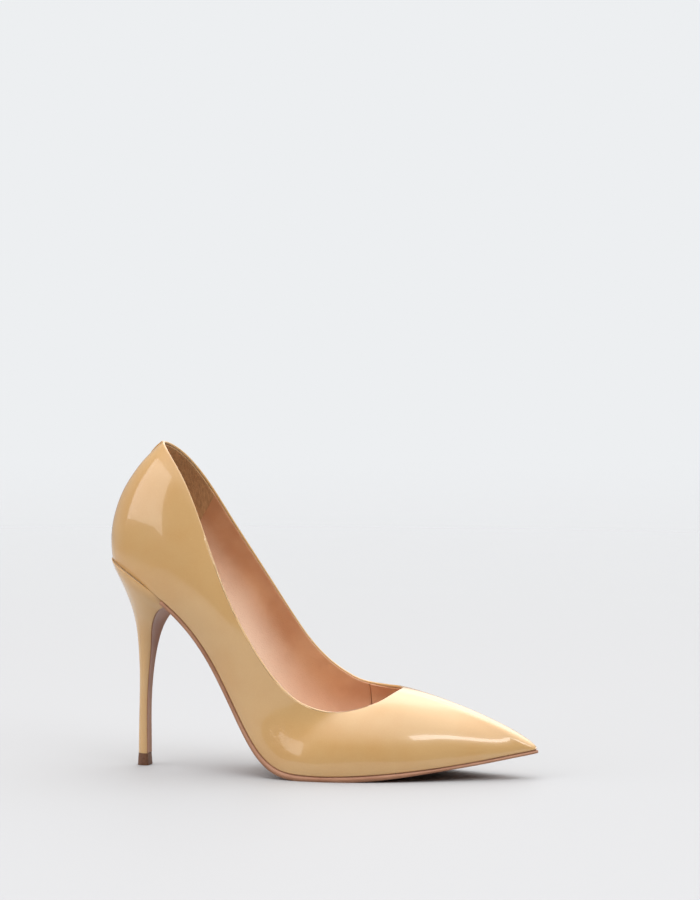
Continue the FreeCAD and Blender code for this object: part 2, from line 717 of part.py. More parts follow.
def seat_tool():
    """Everything over the seat, and everything under the top lift's joint."""
    wide, tall = 2 * size("ball_width"), 80.0
    start, end = x_back - 20.0, x_breast + 25.0
    edges = band_geometry(start, end, constant(-BOND), constant(tall))
    # a straight top keeps the tool simple where its offset would fold
    low = edges[0]
    first, last = low.StartPoint, low.EndPoint
    high = feather_z(start) + tall
    rest = Part.makePolygon([last, V(last.x, high, 0), V(first.x, high, 0), first])
    face = Part.Face(Part.Wire([low.toShape()] + rest.Edges))
    face.rotate(V(0, 0, 0), V(1, 0, 0), 90)
    over = face.extrude(V(0, wide, 0))
    over.translate(V(0, -wide / 2, 0))
    under = Part.makeBox(wide, wide, lift_top + 20.0, V(-wide / 2, -wide / 2, -20.0))
    return Part.Compound([over, under])


def cut_object(label, base, tools):
    """base less its tools, under the node's own name."""
    tool = tools[0]
    if len(tools) > 1:
        tool = doc.addObject("Part::Compound", label + "_tools")
        tool.Links = tools
    result = doc.addObject("Part::Cut", label)
    result.Label = label
    result.Base = base
    result.Tool = tool
    return result


def cylinder(label, radius, height, base_x, base_z):
    """Upright cylinder on the heel's axis; radius and height are expressions on the sheet."""
    rod = doc.addObject("Part::Cylinder", label)
    rod.Label = label
    rod.setExpression("Radius", radius)
    rod.setExpression("Height", height)
    rod.Placement.Base = V(base_x, 0, base_z)
    return rod


def add_turned(label, outline, x_base, y_base, height):
    """A turned fastener: outline is (radius, height) from its tip up, set square to the seat."""
    body = new_body(label)
    points = [V(0, outline[0][1], 0)] + [V(r, z, 0) for r, z in outline] + [V(0, outline[-1][1], 0)]
    edges = [Part.LineSegment(a, b) for a, b in zip(points, points[1:] + points[:1])]
    edges = [edge for edge in edges if edge.length() > 1e-6]
    sketch = add_sketch(body, label + "_half", "XZ_Plane", edges)
    turned = body.newObject("PartDesign::Revolution", label + "_turned")
    turned.Profile = sketch
    turned.ReferenceAxis = (sketch, ["V_Axis"])
    turned.Angle = 360.0
    x = along(x_base)
    up = bottom_up(x)
    body.Placement = FreeCAD.Placement(
        V(x, y_base * grade_wide, feather_z(x)) + up * height, FreeCAD.Rotation(V(0, 0, 1), up))
    return body


def group(label, bodies):
    compound = doc.addObject("Part::Compound", label)
    compound.Label = label
    compound.Links = bodies
    return compound


insole_top = insole_low + size("insole_thick")
NAIL_PLACES = [(0.0, -9.0), (0.0, 9.0), (13.0, -11.5), (13.0, 11.5)]
RIVET_PLACES = [24.0, 72.0]
HEAD_PROUD = 0.3


def add_fasteners():
    """Heel screw, heel nails and shank rivets, all square to the bottom where they stand."""
    radius, depth = size("screw_radius"), size("screw_length")
    head = 1.9 * radius
    screw = add_turned("heel_screw", [
        (0.3 * radius, -depth - insole_top), (radius, 1.5 * radius - depth - insole_top),
        (radius, -head * 0.5), (head, -0.1), (head, HEAD_PROUD)], 8.0, 0.0, insole_top)
    nail, driven = size("nail_radius"), size("nail_length")
    nails = [add_turned(f"heel_nail_{i}", [
        (0.2 * nail, -driven - insole_top), (nail, 2 * nail - driven - insole_top),
        (nail, -0.5), (2 * nail, -0.5), (2 * nail, HEAD_PROUD)], x, y, insole_top)
        for i, (x, y) in enumerate(NAIL_PLACES, start=1)]
    rivet, flange = size("rivet_radius"), 0.35
    under = shank_low - insole_top
    rivets = [add_turned(f"shank_rivet_{i}", [
        (1.5 * rivet, under - flange), (1.5 * rivet, under), (rivet, under),
        (rivet, -flange), (1.5 * rivet, -flange), (1.5 * rivet, HEAD_PROUD)], x, 0.0, insole_top)
        for i, x in enumerate(RIVET_PLACES, start=1)]
    return screw, group("heel_nails", nails), group("shank_rivets", rivets)


def add_shank():
    """Steel strip along the waist, round at both ends."""
    half = size("shank_width") / 2
    start, end = along(3.0) + half, along(80.0) - half
    outline = [
        Part.LineSegment(V(start, -half, 0), V(end, -half, 0)),
        Part.Arc(V(end, -half, 0), V(end + half, 0, 0), V(end, half, 0)),
        Part.LineSegment(V(end, half, 0), V(start, half, 0)),
        Part.Arc(V(start, half, 0), V(start - half, 0, 0), V(start, -half, 0)),
    ]
    return add_band("shank_blank", start - 2 * half, end + 2 * half, constant(shank_low),
                    constant(shank_low + size("shank_gauge")), outline)


def add_top_lift():
    """D-shaped lift, narrower upwards, with a blind hole for its pin."""
    body = new_body("top_lift")
    radius, length = size("lift_radius"), size("lift_length")
    centre = radius - length / 2
    corner = math.sqrt(radius ** 2 - (length / 2 - centre) ** 2)
    outline = [
        Part.Arc(V(length / 2, corner, 0), V(-length / 2, 0, 0), V(length / 2, -corner, 0)),
        Part.LineSegment(V(length / 2, -corner, 0), V(length / 2, corner, 0)),
    ]
    sketch = add_sketch(body, "lift_outline", "XY_Plane", outline)
    pad = body.newObject("PartDesign::Pad", "lift_pad")
    pad.Profile = sketch
    pad.setExpression("Length", "Sheet.lift_height")
    pad.setExpression("TaperAngle", "Sheet.lift_taper * -1")
    return body


# ---------------------------------------------------------------- the pieces
add_upper()
add_linings()
add_fillings()
add_tape()
add_back_tab()

screw, nails, rivets = add_fasteners()
shank_blank = add_shank()
insole, foam, sock = add_boards()
board, filler = add_centre_fillings()
outer_form = add_shape("heel_outer_form", heel_form(0.0))
inner_form = add_shape("heel_inner_form", heel_form(size("cover_thick")))
seat = add_shape("seat_tool", seat_tool())
tube_outer = cylinder("tube_outer", "Sheet.tube_radius", "Sheet.tube_length", HEEL_AXIS, lift_top)
tube_inner = cylinder("tube_inner", "Sheet.tube_bore", "Sheet.tube_length", HEEL_AXIS, lift_top)
PIN_IN_LIFT = 4.0
pin = cylinder("top_lift_pin", "Sheet.pin_radius", f"Sheet.pin_length + {PIN_IN_LIFT}",
               HEEL_AXIS, lift_top - PIN_IN_LIFT)
lift = add_top_lift()
lift.Label = "lift_blank"
insole.Label, board.Label, foam.Label = "insole_blank", "shank_board_blank", "foam_blank"

NAILED = ["upper", "heel_grip", "quarter_lining_lateral", "quarter_lining_medial"]
nodes = [piece for piece in pieces if piece.Label not in [name + "_blank" for name in NAILED]]
nodes += [cut_object(name, piece, [nails])
          for name in NAILED for piece in pieces if piece.Label == name + "_blank"]
nodes += [
    add_outsole(),
    filler, sock, screw, nails, rivets, pin,
    cut_object("sock_foam", foam, [screw, nails, rivets]),
    cut_object("insole_board", insole, [screw, nails, rivets]),
    cut_object("shank_board", board, [shank_blank, screw, nails, rivets]),
    cut_object("shank", shank_blank, [screw, rivets]),
    cut_object("heel_cover", outer_form, [inner_form, seat]),
    cut_object("heel_core", inner_form, [seat, tube_outer, screw, nails]),
    cut_object("heel_tube", tube_outer, [tube_inner]),
    cut_object("top_lift", lift, [pin]),
]
doc.recompute()

# ---------------------------------------------------------------- checks and files
for item in doc.Objects:
    if "Invalid" in item.State or "Error" in item.State:
        raise RuntimeError(f"{item.Label} failed: {item.State}")
for node in nodes:
    if node.Shape.isNull() or not node.Shape.isValid():
        raise RuntimeError(f"{node.Label} has no valid shape")

os.makedirs("parts", exist_ok=True)
for node in nodes:
    box = node.Shape.BoundBox
    print(f"{node.Label}: {len(node.Shape.Solids)} solid(s), {node.Shape.Volume:.0f} mm3, "
          f"{box.XLength:.1f} x {box.YLength:.1f} x {box.ZLength:.1f}")
    node.Shape.exportStep(f"parts/{node.Label}.step")
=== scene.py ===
"""A nude patent stiletto pump on a pale studio floor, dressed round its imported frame."""
import logging
import math
from dataclasses import dataclass
from enum import Enum
from typing import Any, Callable, Sequence

import bmesh
import bpy
import numpy as np
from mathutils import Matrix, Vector, noise


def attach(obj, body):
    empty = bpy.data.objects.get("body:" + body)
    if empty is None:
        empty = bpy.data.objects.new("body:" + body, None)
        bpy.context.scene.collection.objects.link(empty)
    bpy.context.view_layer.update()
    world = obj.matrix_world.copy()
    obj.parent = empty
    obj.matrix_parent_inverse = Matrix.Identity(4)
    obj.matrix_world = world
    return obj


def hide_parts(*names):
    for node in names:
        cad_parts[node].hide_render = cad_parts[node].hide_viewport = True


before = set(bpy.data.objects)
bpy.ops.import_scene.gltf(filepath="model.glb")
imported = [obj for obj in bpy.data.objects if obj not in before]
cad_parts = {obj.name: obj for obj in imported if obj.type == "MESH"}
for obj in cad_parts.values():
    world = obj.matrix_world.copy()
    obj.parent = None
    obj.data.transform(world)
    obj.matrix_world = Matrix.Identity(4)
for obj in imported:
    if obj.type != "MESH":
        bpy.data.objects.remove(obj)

LOG = logging.getLogger("pump")
MM = 0.001
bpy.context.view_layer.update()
BODY = "root"
FINE_WELD = 1e-6
COARSE_WELD = 2e-5

# ---- shader helpers


class Field:
    """A shader socket with a number in it, which adds Math nodes when it is used in an expression."""

    def __init__(self, paint: "Tree", socket: bpy.types.NodeSocket) -> None:
        """Wraps one output socket.

        Args:
            paint: the material that the socket belongs to.
            socket: the output to read.
        """
        self.paint, self.socket = paint, socket

    def math(self, operation: str, *values: Any) -> "Field":
        """Adds one Math node.

        Args:
            operation: the Math node's operation.
            values: its inputs, in order, as numbers or other fields.

        Returns:
            The node's result.
        """
        made = self.paint.node("ShaderNodeMath", {"operation": operation}, dict(enumerate(values)))
        return Field(self.paint, made.outputs[0])

    def __add__(self, other: Any) -> "Field":
        """self + other."""
        return self.math("ADD", self, other)

    def __sub__(self, other: Any) -> "Field":
        """self - other."""
        return self.math("SUBTRACT", self, other)

    def __rsub__(self, other: Any) -> "Field":
        """other - self."""
        return self.math("SUBTRACT", other, self)

    def __mul__(self, other: Any) -> "Field":
        """self * other."""
        return self.math("MULTIPLY", self, other)

    __radd__ = __add__
    __rmul__ = __mul__

    def between(self, low: float, high: float) -> "Field":
        """0 below low, 1 above high, smooth in between."""
        made = self.paint.node(
            "ShaderNodeMapRange", {"interpolation_type": "SMOOTHSTEP"},
            {0: self, 1: low, 2: high, 3: 0.0, 4: 1.0},
        )
        return Field(self.paint, made.outputs[0])


class Tree:
    """A node tree under construction."""

    def __init__(self, tree: bpy.types.NodeTree) -> None:
        """Empties the tree.

        Args:
            tree: the node tree to fill.
        """
        self.tree = tree
        self.tree.nodes.clear()

    def node(self, kind: str, settings: dict[str, Any], inputs: dict[Any, Any]) -> bpy.types.Node:
        """Adds any node.

        Args:
            kind: the node's type.
            settings: its properties, set before its inputs.
            inputs: values, fields or sockets by input name or number.

        Returns:
            The new node.
        """
        made = self.tree.nodes.new(kind)
        for key, value in settings.items():
            setattr(made, key, value)
        for key, value in inputs.items():
            self.feed(made.inputs[key], value)
        return made

    def feed(self, socket: bpy.types.NodeSocket, value: Any) -> None:
        """Links or sets one input.

        Args:
            socket: the input.
            value: a field, a socket, a number or a tuple.
        """
        if isinstance(value, Field):
            self.tree.links.new(value.socket, socket)
        elif isinstance(value, bpy.types.NodeSocket):
            self.tree.links.new(value, socket)
        elif isinstance(value, tuple) and len(value) == 3 and socket.type == "RGBA":
            socket.default_value = (*value, 1.0)
        else:
            socket.default_value = value

    def blend(self, part: Any, first: Any, second: Any) -> Any:
        """Mixes two colours.

        Args:
            part: share of the second.
            first: colour at 0.
            second: colour at 1.

        Returns:
            The mixed colour's socket.
        """
        made = self.node("ShaderNodeMix", {"data_type": "RGBA"}, {})
        self.feed(made.inputs[0], part)
        self.feed(made.inputs[6], first)
        self.feed(made.inputs[7], second)
        return made.outputs[2]


class Paint(Tree):
    """One material under construction."""

    def __init__(self, name: str) -> None:
        """Starts an empty node material with a Principled shader.

        Args:
            name: the material's name.
        """
        self.material = bpy.data.materials.new(name)
        self.material.use_nodes = True
        super().__init__(self.material.node_tree)
        self.shader = self.node("ShaderNodeBsdfPrincipled", {}, {})
        output = self.node("ShaderNodeOutputMaterial", {}, {})
        self.tree.links.new(self.shader.outputs[0], output.inputs["Surface"])
        coordinates = self.node("ShaderNodeTexCoord", {}, {})
        self.place, self.flat = coordinates.outputs["Object"], coordinates.outputs["UV"]

    def stretched(self, scale: tuple[float, float, float],
                  turn: tuple[float, float, float] = (0, 0, 0)) -> Any:
        """Object coordinates, scaled and turned.

        Args:
            scale: stretch along each axis.
            turn: turn about each axis, in radians.

        Returns:
            The Mapping node's vector output.
        """
        made = self.node("ShaderNodeMapping", {}, {"Vector": self.place, "Rotation": turn, "Scale": scale})
        return made.outputs[0]

    def grain(self, size: float, detail: float = 2.0, rough: float = 0.5, vector: Any = None) -> Field:
        """Cloudy noise.

        Args:
            size: size of a blotch, in metres.
            detail: octaves of finer noise.
            rough: strength of the finer noise.
            vector: coordinates to read; Object coordinates when left out.

        Returns:
            The noise, about 0.5.
        """
        made = self.node(
            "ShaderNodeTexNoise", {},
            {"Vector": vector or self.place, "Scale": 1.0 / size, "Detail": detail, "Roughness": rough},
        )
        return Field(self, made.outputs[0])

    def cells(self, size: float) -> Field:
        """Distance to the nearest point of a random cell pattern.

        Args:
            size: size of a cell, in metres.

        Returns:
            The distance, in cells.
        """
        made = self.node("ShaderNodeTexVoronoi", {}, {"Vector": self.place, "Scale": 1.0 / size})
        return Field(self, made.outputs[0])

    def height(self) -> Field:
        """Share of the way up a piece, from its own UV map."""
        made = self.node("ShaderNodeSeparateXYZ", {}, {0: self.flat})
        return Field(self, made.outputs["Y"])

    def relief(self, height: Field, depth: float) -> None:
        """Feeds a Bump node into the shader's normal.

        Args:
            height: the relief, 0 to 1.
            depth: its depth, in metres.
        """
        made = self.node("ShaderNodeBump", {}, {"Strength": 1.0, "Distance": depth, "Height": height})
        self.feed(self.shader.inputs["Normal"], made.outputs[0])

    def gloss(self, **values: Any) -> None:
        """Sets the shader's sockets by name, with _ for a space."""
        for key, value in values.items():
            self.feed(self.shader.inputs[key.replace("_", " ")], value)


Colour = tuple[float, float, float]


def tint(red: int, green: int, blue: int) -> Colour:
    """A display colour, 0 to 255, as linear light."""
    shares = (c / 255.0 for c in (red, green, blue))
    return tuple(c / 12.92 if c <= 0.04045 else ((c + 0.055) / 1.055) ** 2.4 for c in shares)


# ---- finishes


@dataclass(frozen=True)
class Patent:
    """Lacquered leather: a soft coloured ground under a clear, slightly uneven lacquer."""

    ground: Colour = tint(208, 168, 114)
    warm: Colour = tint(205, 161, 104)
    peel: float = 0.0035
    peel_depth: float = 0.00003
    crinkle_at: tuple[float, float, float] = (0.079, -0.036, 0.020)

    def made(self, name: str) -> bpy.types.Material:
        """The finish as a material.

        Args:
            name: the material's name.

        Returns:
            The material.
        """
        paint = Paint(name)
        clouds = paint.grain(0.028, 3.0)
        fleck = paint.grain(0.0006, 2.0, 0.7)
        colour = paint.blend(clouds.between(0.35, 0.7), self.ground, self.warm)
        colour = paint.blend(fleck.between(0.45, 0.75) * 0.14, colour, tint(226, 190, 134))
        paint.gloss(
            Base_Color=colour, Roughness=0.16 + clouds * 0.08, Coat_Weight=0.7, Coat_Roughness=0.015,
            Coat_IOR=1.5, IOR=1.5,
        )
        away = paint.node(
            "ShaderNodeVectorMath", {"operation": "DISTANCE"}, {0: paint.place, 1: self.crinkle_at}
        )
        near = 1.0 - Field(paint, away.outputs["Value"]).between(0.004, 0.013)
        crease = paint.grain(0.0032, 4.0, 0.65) * near * 9.0
        paint.relief(paint.grain(self.peel, 1.0) + paint.grain(0.011, 1.0) * 2.0 + crease, self.peel_depth)
        return paint.material


@dataclass(frozen=True)
class Leather:
    """Lining or sole leather: fine pores, soft colour clouds and a low sheen; a low colour, where given, is
    painted light that makes a piece paler towards its bottom.
    """

    ground: Colour
    warm: Colour
    roughness: float = 0.5
    pore: float = 0.0007
    pore_depth: float = 0.00004
    coat: float = 0.0
    # low: painted light, a paler colour towards the bottom of a piece, standing in for light falling into
    # the shoe
    low: Colour | None = None

    def made(self, name: str) -> bpy.types.Material:
        """The finish as a material.

        Args:
            name: the material's name.

        Returns:
            The material.
        """
        paint = Paint(name)
        clouds = paint.grain(0.018, 4.0)
        pores = paint.cells(self.pore)
        colour = paint.blend(clouds.between(0.3, 0.72), self.ground, self.warm)
        # painted light: the colour turns paler towards the bottom of the piece, where light falls in from
        # above and bounces inside the shoe
        if self.low:
            depth = 1.0 - (paint.height() + (clouds - 0.5) * 0.1).between(0.15, 0.85)
            colour = paint.blend(depth, colour, self.low)
        paint.gloss(
            Base_Color=paint.blend((1.0 - pores.between(0.0, 0.4)) * 0.25, colour, self.warm),
            Roughness=self.roughness + (clouds - 0.5) * 0.15, Coat_Weight=self.coat, Coat_Roughness=0.2,
        )
        paint.relief(pores.between(0.0, 0.6) + paint.grain(0.004, 3.0), self.pore_depth)
        return paint.material


@dataclass(frozen=True)
class Suede:
    """Napped leather: brushed streaks over a dull, fibrous ground."""

    ground: Colour = tint(166, 126, 88)
    light: Colour = tint(194, 150, 106)

    def made(self, name: str) -> bpy.types.Material:
        """The finish as a material.

        Args:
            name: the material's name.

        Returns:
            The material.
        """
        paint = Paint(name)
        streaks = paint.grain(0.0010, 3.0, 0.7, paint.stretched((1.0, 1.0, 0.22), (0.0, 0.6, 0.0)))
        nap = paint.grain(0.00035, 2.0, 0.8)
        paint.gloss(
            Base_Color=paint.blend(streaks.between(0.3, 0.7), self.ground, self.light), Roughness=0.9,
            Sheen_Weight=0.35, Sheen_Roughness=0.4, Sheen_Tint=(*tint(200, 170, 130), 1.0),
            Specular_IOR_Level=0.2,
        )
        paint.relief(nap + streaks, 0.00010)
        return paint.material


@dataclass(frozen=True)
class Rough:
    """A plain working stuff with a fine grain: board, felt, foam, plastic, rubber, steel."""

    ground: Colour
    mark: Colour
    grain: float
    depth: float
    roughness: float
    stretch: tuple[float, float, float] = (1.0, 1.0, 1.0)
    metallic: float = 0.0

    def made(self, name: str) -> bpy.types.Material:
        """The finish as a material.

        Args:
            name: the material's name.

        Returns:
            The material.
        """
        paint = Paint(name)
        marks = paint.grain(self.grain, 4.0, 0.65, paint.stretched(self.stretch))
        paint.gloss(
            Base_Color=paint.blend(marks.between(0.35, 0.7), self.ground, self.mark),
            Roughness=self.roughness + (marks - 0.5) * 0.2, Metallic=self.metallic,
        )
        paint.relief(marks, self.depth)
        return paint.material


FINISHES = {
    "patent": Patent(),
    # the lining's low colour is painted light: paler towards the bottom of the lining, where light falls
    # into the shoe
    "lining_leather": Leather(
        tint(206, 154, 114), tint(190, 134, 94), 0.36, coat=0.25, low=tint(248, 222, 200)
    ),
    "suede": Suede(),
    "sock": Leather(tint(240, 213, 192), tint(232, 200, 176), 0.30, 0.0005, 0.00002, coat=0.25),
    "outsole_leather": Leather(tint(176, 128, 98), tint(158, 108, 80), 0.45, 0.0009, 0.00003),
    "board": Rough(tint(150, 122, 96), tint(112, 88, 66), 0.0016, 0.00006, 0.85, (1.0, 0.3, 1.0)),
    "stiffener": Rough(tint(206, 196, 176), tint(178, 164, 140), 0.0012, 0.00005, 0.8),
    "backing": Rough(tint(196, 172, 140), tint(168, 142, 110), 0.0008, 0.00004, 0.9, (1.0, 1.0, 0.3)),
    "foam": Rough(tint(228, 214, 190), tint(204, 186, 158), 0.0009, 0.00012, 0.9),
    "heel_plastic": Rough(tint(186, 160, 128), tint(170, 142, 110), 0.006, 0.00002, 0.4),
    "lift_rubber": Rough(tint(112, 74, 50), tint(92, 58, 38), 0.0011, 0.00004, 0.55),
    "steel": Rough(tint(176, 176, 178), tint(140, 140, 144), 0.0009, 0.00001, 0.3, (0.2, 1.0, 1.0), 1.0),
}


class Wardrobe:
    """The finishes as materials, made once each."""

    def __init__(self) -> None:
        """Makes every finish."""
        self.materials = {slot: finish.made(slot + "_finish") for slot, finish in FINISHES.items()}

    def dress(self, piece: bpy.types.Object, slot: str) -> None:
        """Gives a piece the finish of a slot.

        Args:
            piece: the object.
            slot: the record's material slot.
        """
        if piece.data.materials:
            for index in range(len(piece.data.materials)):
                piece.data.materials[index] = self.materials[slot]
        else:
            piece.data.materials.append(self.materials[slot])

    def dress_frame(self) -> None:
        """Gives every carried-over node its finish."""
        for name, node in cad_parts.items():
            slot = node.data.materials[0].name.split(".")[0]
            self.dress(node, slot)
            LOG.info("node %s wears %s", name, slot)


# ---- the form


class Rail:
    """Natural cubic spline through rows of values."""

    def __init__(self, places: Sequence[float], values: Any) -> None:
        """Solves the spline.

        Args:
            places: increasing parameters.
            values: one row of numbers at each.
        """
        self.at = np.array(places, float)
        self.rows = np.array(values, float)
        count, gaps = len(self.at), np.diff(self.at)
        left, right = np.eye(count), np.zeros_like(self.rows)
        slopes = np.diff(self.rows, axis=0) / gaps.reshape(-1, *[1] * (self.rows.ndim - 1))
        for i in range(1, count - 1):
            left[i, i - 1:i + 2] = gaps[i - 1], 2 * (gaps[i - 1] + gaps[i]), gaps[i]
            right[i] = 6 * (slopes[i] - slopes[i - 1])
        self.bends = np.linalg.solve(left, right.reshape(count, -1)).reshape(self.rows.shape)

    def __call__(self, places: Any) -> np.ndarray:
        """Values at some places."""
        t = np.asarray(places, float)
        i = np.clip(np.searchsorted(self.at, t, side="right") - 1, 0, len(self.at) - 2)
        gap = self.at[i + 1] - self.at[i]
        b = (t - self.at[i]) / gap
        a, shape = 1 - b, (*t.shape, *[1] * (self.rows.ndim - 1))
        a, b, gap = a.reshape(shape), b.reshape(shape), gap.reshape(shape)
        bend = ((a ** 3 - a) * self.bends[i] + (b ** 3 - b) * self.bends[i + 1]) * gap ** 2 / 6
        return a * self.rows[i] + b * self.rows[i + 1] + bend


def smooth(x: np.ndarray) -> np.ndarray:
    """0 to 1 without corners."""
    x = np.clip(x, 0.0, 1.0)
    return x * x * (3 - 2 * x)


def unit(v: np.ndarray) -> np.ndarray:
    """Vectors at length 1."""
    return v / np.maximum(np.linalg.norm(v, axis=-1, keepdims=True), 1e-12)


@dataclass
class Form:
    """The wall of the shoe, as the frame has it: a ring of curves from the feather line to the topline.

    Stations are counted from the back seam to the toe, and back on the medial side as negative numbers.
    Lengths inside are in millimetres.
    """

    profile: tuple = (
        (-15.5, 104.0), (0.0, 96.3), (14.0, 86.9), (28.0, 74.6), (42.0, 56.4), (56.0, 32.2),
        (68.0, 14.4), (80.0, 5.3), (93.0, 2.9), (107.0, 2.7), (124.0, 3.4), (146.0, 5.3), (170.0, 8.6),
        (200.5, 14.4),
    )
    lateral: tuple = (
        (-15.5, 0.0, 11.0, 0.0, 162.0), (-13.5, -7.7, 13.8, -6.6, 159.6),
        (-7.7, -14.5, 19.0, -11.4, 154.0), (2.0, -19.9, 27.0, -16.0, 143.0),
        (14.0, -22.4, 38.0, -21.3, 120.6), (28.0, -22.2, 50.5, -26.6, 92.2),
        (42.0, -22.3, 63.0, -30.0, 69.5), (56.0, -25.3, 77.0, -31.8, 50.2),
        (68.0, -30.3, 89.5, -31.8, 39.0), (80.0, -34.6, 98.0, -30.9, 35.3),
        (93.0, -37.2, 104.5, -29.4, 33.8), (107.0, -37.2, 110.5, -27.4, 33.7),
        (124.0, -33.8, 116.5, -24.6, 34.5), (146.0, -25.6, 122.0, -21.3, 36.2),
        (168.0, -14.2, 126.6, -17.2, 38.0), (184.0, -5.2, 129.6, -12.6, 39.9),
        (194.0, 0.0, 131.4, -7.9, 41.3), (199.0, 2.4, 132.3, -3.2, 42.1), (200.5, 5.2, 132.6, 1.3, 42.5),
    )
    medial: tuple = (
        (-15.5, 0.0, 11.0, 0.0, 162.0), (-13.5, 7.7, 13.6, 6.8, 159.9), (-7.7, 14.5, 18.8, 12.2, 154.6),
        (2.0, 19.9, 27.0, 17.2, 143.4), (14.0, 22.4, 38.8, 22.0, 123.5), (28.0, 21.7, 52.5, 26.0, 101.0),
        (42.0, 20.4, 66.0, 28.6, 79.5), (56.0, 21.4, 80.0, 30.2, 60.0), (68.0, 25.2, 91.0, 29.8, 50.4),
        (80.0, 29.8, 98.5, 28.6, 46.2), (93.0, 33.8, 104.5, 26.8, 43.9),
        (107.0, 35.6, 110.3, 24.8, 42.9), (124.0, 34.4, 116.0, 22.6, 42.4),
        (146.0, 28.2, 121.4, 19.8, 42.2), (168.0, 20.0, 125.8, 16.4, 42.3),
        (184.0, 14.0, 128.9, 12.8, 42.5), (194.2, 10.4, 131.0, 9.0, 42.6),
        (199.1, 8.2, 132.3, 5.3, 42.6), (200.5, 5.2, 132.6, 1.3, 42.5),
    )
    keys: tuple = (
        (4.0, 0.00, 0.31, 12.7, 0.33, 0.28), (4.0, 0.15, 0.32, 9.0, 0.33, 0.29),
        (3.5, 0.30, 0.33, 4.0, 0.33, 0.33), (2.5, 0.30, 0.33, 1.5, 0.33, 0.33),
        (2.2, 0.15, 0.35, 1.5, 0.33, 0.30), (2.0, 0.00, 0.40, 1.0, 0.30, 0.25),
        (2.0, 0.00, 0.45, 1.5, 0.33, 0.12), (1.8, 0.02, 0.38, 1.8, 0.42, 0.08),
        (1.2, 0.00, 0.24, 0.6, 0.41, 0.15), (1.0, 0.00, 0.18, 0.0, 0.40, 0.20),
    )
    upper: float = 1.0
    bond: float = 0.05
    tape: float = 0.25
    stay: float = 0.4
    stiff: float = 1.2
    lining: float = 0.7

    def __post_init__(self) -> None:
        """Lays the rails round the ring."""
        self.side = Rail([x for x, z in self.profile], [[z] for x, z in self.profile])
        ring = list(self.lateral) + list(self.medial[-2:0:-1])
        count = len(ring)
        stations = [min(k, count - k) for k in range(count)]
        feet = [(x, y, self.rise(x)) for x, y, *_ in ring]
        tops = [row[2:] for row in ring]
        shapes = []
        for k in stations:
            low, part = divmod(k, 2)
            high = min(low + 1, len(self.keys) - 1)
            shapes.append([a + (b - a) * part / 2 for a, b in zip(self.keys[low], self.keys[high])])
        rows = np.hstack([np.array(feet), np.array(tops), np.array(shapes)])
        turned = np.vstack([rows, rows[:1]])
        steps = (np.linalg.norm(np.diff(turned[:, :3], axis=0), axis=1)
                 + np.linalg.norm(np.diff(turned[:, 3:6], axis=0), axis=1)) / 2
        self.at = np.concatenate([[0.0], np.cumsum(steps)])
        self.length = float(self.at[-1])
        self.count = count
        overlap = 6
        places = np.concatenate([self.at[-1 - overlap:-1] - self.length, self.at[:-1],
                                 self.at[:overlap] + self.length])
        self.rails = Rail(places, np.vstack([rows[-overlap:], rows, rows[:overlap]]))

    def rise(self, x: Any) -> Any:
        """Height of the feather line at x, carried on straight past its ends."""
        x = np.asarray(x, float)
        inside = np.clip(x, self.profile[0][0], self.profile[-1][0])
        return self.side(inside)[..., 0] + (x - inside) * self.slope(inside)

    def slope(self, x: Any) -> Any:
        """Steepness of the feather line at x."""
        inside = np.clip(np.asarray(x, float), self.profile[0][0] + 0.1, self.profile[-1][0] - 0.1)
        return (self.side(inside + 0.1)[..., 0] - self.side(inside - 0.1)[..., 0]) / 0.2

    def lift(self, x: np.ndarray) -> np.ndarray:
        """Direction square to the feather line in side view."""
        slope = self.slope(x)
        return unit(np.stack([-slope, np.zeros_like(slope), np.ones_like(slope)], -1))

    def place(self, station: Any) -> np.ndarray:
        """Place along the ring of a station number."""
        k = np.asarray(station, float)
        turns = np.floor(k / self.count)
        k = k - turns * self.count
        low = np.clip(k.astype(int), 0, self.count - 1)
        return turns * self.length + self.at[low] + (k - low) * (self.at[low + 1] - self.at[low])

    def wall(self, s: np.ndarray, v: np.ndarray) -> np.ndarray:
        """Points of the wall.

        Args:
            s: places along the ring.
            v: heights, 0 at the feather line and 1 at the topline.

        Returns:
            Points in millimetres.
        """
        s = np.asarray(s, float)
        turned = s % self.length
        row = self.rails(turned)
        ahead, behind = self.rails(turned + 0.05), self.rails(turned - 0.05)
        foot = np.stack([row[..., 0], row[..., 1], self.rise(row[..., 0])], -1)
        top = row[..., 3:6]
        run = ahead[..., :2] - behind[..., :2]
        out = unit(np.stack([run[..., 1], -run[..., 0], np.zeros_like(run[..., 0])], -1))
        flare, lean, climb, swell, head_lean, fall = (row[..., i:i + 1] for i in range(6, 12))
        level = (top - foot) * np.array([1.0, 1.0, 0.0])
        tall = (top - foot) * np.array([0.0, 0.0, 1.0])
        low = foot + out * flare + level * lean + tall * climb
        high = top + out * swell - level * head_lean - tall * fall
        v = np.asarray(v, float)[..., None]
        w = 1.0 - v
        return foot * w ** 3 + low * 3 * w * w * v + high * 3 * w * v * v + top * v ** 3

    def skin(self, s: np.ndarray, v: np.ndarray, rise: Any = 0.0, depth: Any = 0.0) -> np.ndarray:
        """Points near the wall.

        Args:
            s: places along the ring.
            v: heights, 0 to 1.
            rise: way up along the wall from there, in millimetres.
            depth: way in behind the wall, in millimetres.

        Returns:
            Points in millimetres.
        """
        s, v, rise, depth = np.broadcast_arrays(s, v, rise, depth)
        step = 0.006
        v_in = np.clip(v, step, 1.0 - step)
        up = unit(self.wall(s, v_in + step) - self.wall(s, v_in - step))
        across = self.wall(s + 0.2, v_in) - self.wall(s - 0.2, v_in)
        normal = unit(np.cross(across, up))
        return self.wall(s, v) + up * rise[..., None] - normal * depth[..., None]

    def reach(self, s: np.ndarray) -> np.ndarray:
        """Length of the wall curve at s."""
        steps = np.linspace(0.0, 1.0, 13)
        points = np.stack([self.wall(s, np.full_like(s, v)) for v in steps])
        return np.linalg.norm(np.diff(points, axis=0), axis=-1).sum(0)

